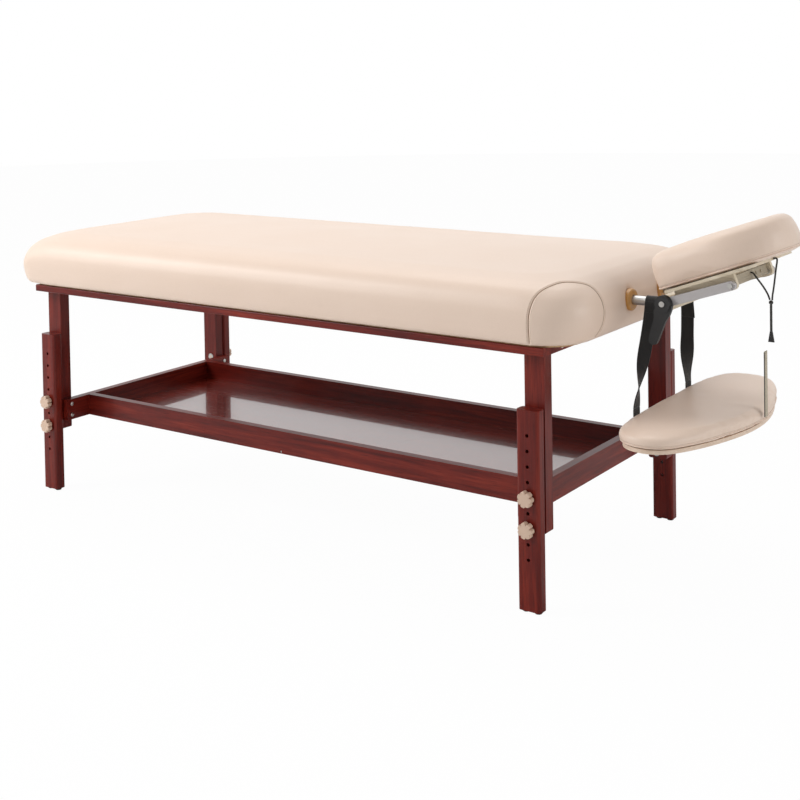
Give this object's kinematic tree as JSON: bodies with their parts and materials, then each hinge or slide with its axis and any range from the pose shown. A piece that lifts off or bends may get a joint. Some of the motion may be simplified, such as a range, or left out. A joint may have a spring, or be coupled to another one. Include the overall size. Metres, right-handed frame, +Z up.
{
  "type": "treatment table",
  "caption": "Stationary padded treatment table on a height-adjustable hardwood frame, with storage tray, hinged face cradle and hanging arm shelf.",
  "frame": {"origin": "on the floor, under the middle of the whole table with its cradle", "axes": "+X towards the head end, -Y the front, +Z up"},
  "size_m": [2.2228, 0.7868, 0.8848],
  "materials": {
    "vinyl": "satin cream upholstery vinyl over foam",
    "mahogany": "glossy dark red-brown hardwood stain",
    "panel_wood": "glossy red-brown board",
    "plain_wood": "bare hidden softwood",
    "knob_plastic": "cream moulded plastic",
    "steel": "zinc-plated steel",
    "glide": "dark grey plastic",
    "grommet": "tan plastic",
    "arm_grey": "light grey painted aluminium",
    "cream_board": "cream painted plywood",
    "bar_beige": "beige painted hardwood",
    "lever_black": "black moulded plastic",
    "webbing": "black woven webbing",
    "cream_strap": "cream woven tape",
    "cord": "dark grey round cord"
  },
  "bodies": {
    "frame": {"bed_cushion": "vinyl", "deck_board": "plain_wood", "base_rail_front": "mahogany", "base_rail_back": "mahogany", "base_cross_rails": "mahogany", "post_front_foot": "mahogany", "post_front_head": "mahogany", "post_back_foot": "mahogany", "post_back_head": "mahogany", "tray_rail_front": "mahogany", "tray_rail_back": "mahogany", "tray_rail_foot": "mahogany", "tray_rail_head": "mahogany", "tray_panel": "panel_wood", "leg_nuts": "steel", "rail_bolts": "steel", "tray_screws": "steel", "socket_block": "plain_wood", "grommets": "grommet", "rail_stud": "knob_plastic"},
    "leg_front_foot": {"lower_leg_front_foot": "mahogany", "glides_front_foot": "glide"},
    "leg_front_head": {"lower_leg_front_head": "mahogany", "glides_front_head": "glide"},
    "leg_back_foot": {"lower_leg_back_foot": "mahogany", "glides_back_foot": "glide"},
    "leg_back_head": {"lower_leg_back_head": "mahogany", "glides_back_head": "glide"},
    "knob_front_foot_upper": {"knob_front_foot_upper": "knob_plastic"},
    "knob_front_foot_lower": {"knob_front_foot_lower": "knob_plastic"},
    "knob_front_head_upper": {"knob_front_head_upper": "knob_plastic"},
    "knob_front_head_lower": {"knob_front_head_lower": "knob_plastic"},
    "knob_back_foot_upper": {"knob_back_foot_upper": "knob_plastic"},
    "knob_back_foot_lower": {"knob_back_foot_lower": "knob_plastic"},
    "knob_back_head_upper": {"knob_back_head_upper": "knob_plastic"},
    "knob_back_head_lower": {"knob_back_head_lower": "knob_plastic"},
    "cradle": {"cradle_posts": "steel", "cradle_crossbar": "cream_board", "cradle_knuckles": "cream_board", "lift_rod": "steel", "front_strap": "webbing", "rear_strap": "webbing"},
    "arms": {"arm_front": "arm_grey", "arm_back": "arm_grey", "tilt_bolts": "steel"},
    "cam_lever": {"cam_lever": "lever_black"},
    "platform": {"platform_panel": "cream_board", "bracket_front": "cream_board", "bracket_back": "cream_board", "tilt_crossbar": "bar_beige", "head_cushion": "vinyl", "yoke_strands": "cord"},
    "arm_shelf": {"shelf_board": "plain_wood", "shelf_pad": "vinyl", "shelf_webbing": "webbing"},
    "outer_strap": {"outer_strap": "cream_strap"},
    "yoke_bead": {"yoke_bead": "cord"},
    "yoke": {"yoke_cord": "cord", "yoke_tab": "lever_black"}
  },
  "joints": [
    {"name": "leg_front_foot_height", "type": "slide", "parent": "frame", "child": "leg_front_foot", "axis": [0, 0, 1], "range_m": [-0.14, 0.07]},
    {"name": "leg_front_head_height", "type": "slide", "parent": "frame", "child": "leg_front_head", "axis": [0, 0, 1], "range_m": [-0.14, 0.07]},
    {"name": "leg_back_foot_height", "type": "slide", "parent": "frame", "child": "leg_back_foot", "axis": [0, 0, 1], "range_m": [-0.14, 0.07]},
    {"name": "leg_back_head_height", "type": "slide", "parent": "frame", "child": "leg_back_head", "axis": [0, 0, 1], "range_m": [-0.14, 0.07]},
    {"name": "knob_front_foot_upper_turn", "type": "hinge", "parent": "frame", "child": "knob_front_foot_upper", "pos_m": [-0.98788, -0.376, 0.262], "axis": [0, -1, 0], "continuous": true},
    {"name": "knob_front_foot_lower_turn", "type": "hinge", "parent": "frame", "child": "knob_front_foot_lower", "pos_m": [-0.98788, -0.376, 0.192], "axis": [0, -1, 0], "continuous": true},
    {"name": "knob_front_head_upper_turn", "type": "hinge", "parent": "frame", "child": "knob_front_head_upper", "pos_m": [0.61912, -0.376, 0.262], "axis": [0, -1, 0], "continuous": true},
    {"name": "knob_front_head_lower_turn", "type": "hinge", "parent": "frame", "child": "knob_front_head_lower", "pos_m": [0.61912, -0.376, 0.192], "axis": [0, -1, 0], "continuous": true},
    {"name": "knob_back_foot_upper_turn", "type": "hinge", "parent": "frame", "child": "knob_back_foot_upper", "pos_m": [-0.98788, 0.376, 0.262], "axis": [0, 1, 0], "continuous": true},
    {"name": "knob_back_foot_lower_turn", "type": "hinge", "parent": "frame", "child": "knob_back_foot_lower", "pos_m": [-0.98788, 0.376, 0.192], "axis": [0, 1, 0], "continuous": true},
    {"name": "knob_back_head_upper_turn", "type": "hinge", "parent": "frame", "child": "knob_back_head_upper", "pos_m": [0.61912, 0.376, 0.262], "axis": [0, 1, 0], "continuous": true},
    {"name": "knob_back_head_lower_turn", "type": "hinge", "parent": "frame", "child": "knob_back_head_lower", "pos_m": [0.61912, 0.376, 0.192], "axis": [0, 1, 0], "continuous": true},
    {"name": "cradle_slide", "type": "slide", "parent": "frame", "child": "cradle", "axis": [1, 0, 0], "range_m": [0, 0.18]},
    {"name": "arm_lift", "type": "hinge", "parent": "cradle", "child": "arms", "pos_m": [0.84362, 0, 0.681], "axis": [0, -1, 0], "range_deg": [-12, 25]},
    {"name": "cam_release", "type": "hinge", "parent": "cradle", "child": "cam_lever", "pos_m": [0.84362, 0, 0.681], "axis": [0, -1, 0], "range_deg": [0, 80]},
    {"name": "platform_tilt", "type": "hinge", "parent": "arms", "child": "platform", "pos_m": [0.99867, 0, 0.73288], "axis": [0, 1, 0], "range_deg": [0, 25]},
    {"name": "shelf_swing", "type": "hinge", "parent": "cradle", "child": "arm_shelf", "pos_m": [0.77907, 0, 0.4357], "axis": [0, -1, 0], "range_deg": [-12, 24]},
    {"name": "outer_strap_swing", "type": "hinge", "parent": "arm_shelf", "child": "outer_strap", "pos_m": [1.03017, 0, 0.417], "axis": [0, 1, 0], "range_deg": [-12, 24]},
    {"name": "bead_swing", "type": "hinge", "parent": "platform", "child": "yoke_bead", "pos_m": [1.04362, 0, 0.68], "axis": [0, -1, 0], "range_deg": [-6, 30]},
    {"name": "yoke_swing", "type": "hinge", "parent": "yoke_bead", "child": "yoke", "pos_m": [1.04362, 0, 0.68], "axis": [0, 1, 0], "range_deg": [-16, 30]}
  ],
  "couplings": [
    {"joint": "shelf_swing", "follows": "arm_lift", "ratio": 0.82},
    {"joint": "outer_strap_swing", "follows": "arm_lift", "ratio": 0.82},
    {"joint": "bead_swing", "follows": "platform_tilt", "ratio": 1},
    {"joint": "yoke_swing", "follows": "arm_lift", "ratio": 1}
  ]
}
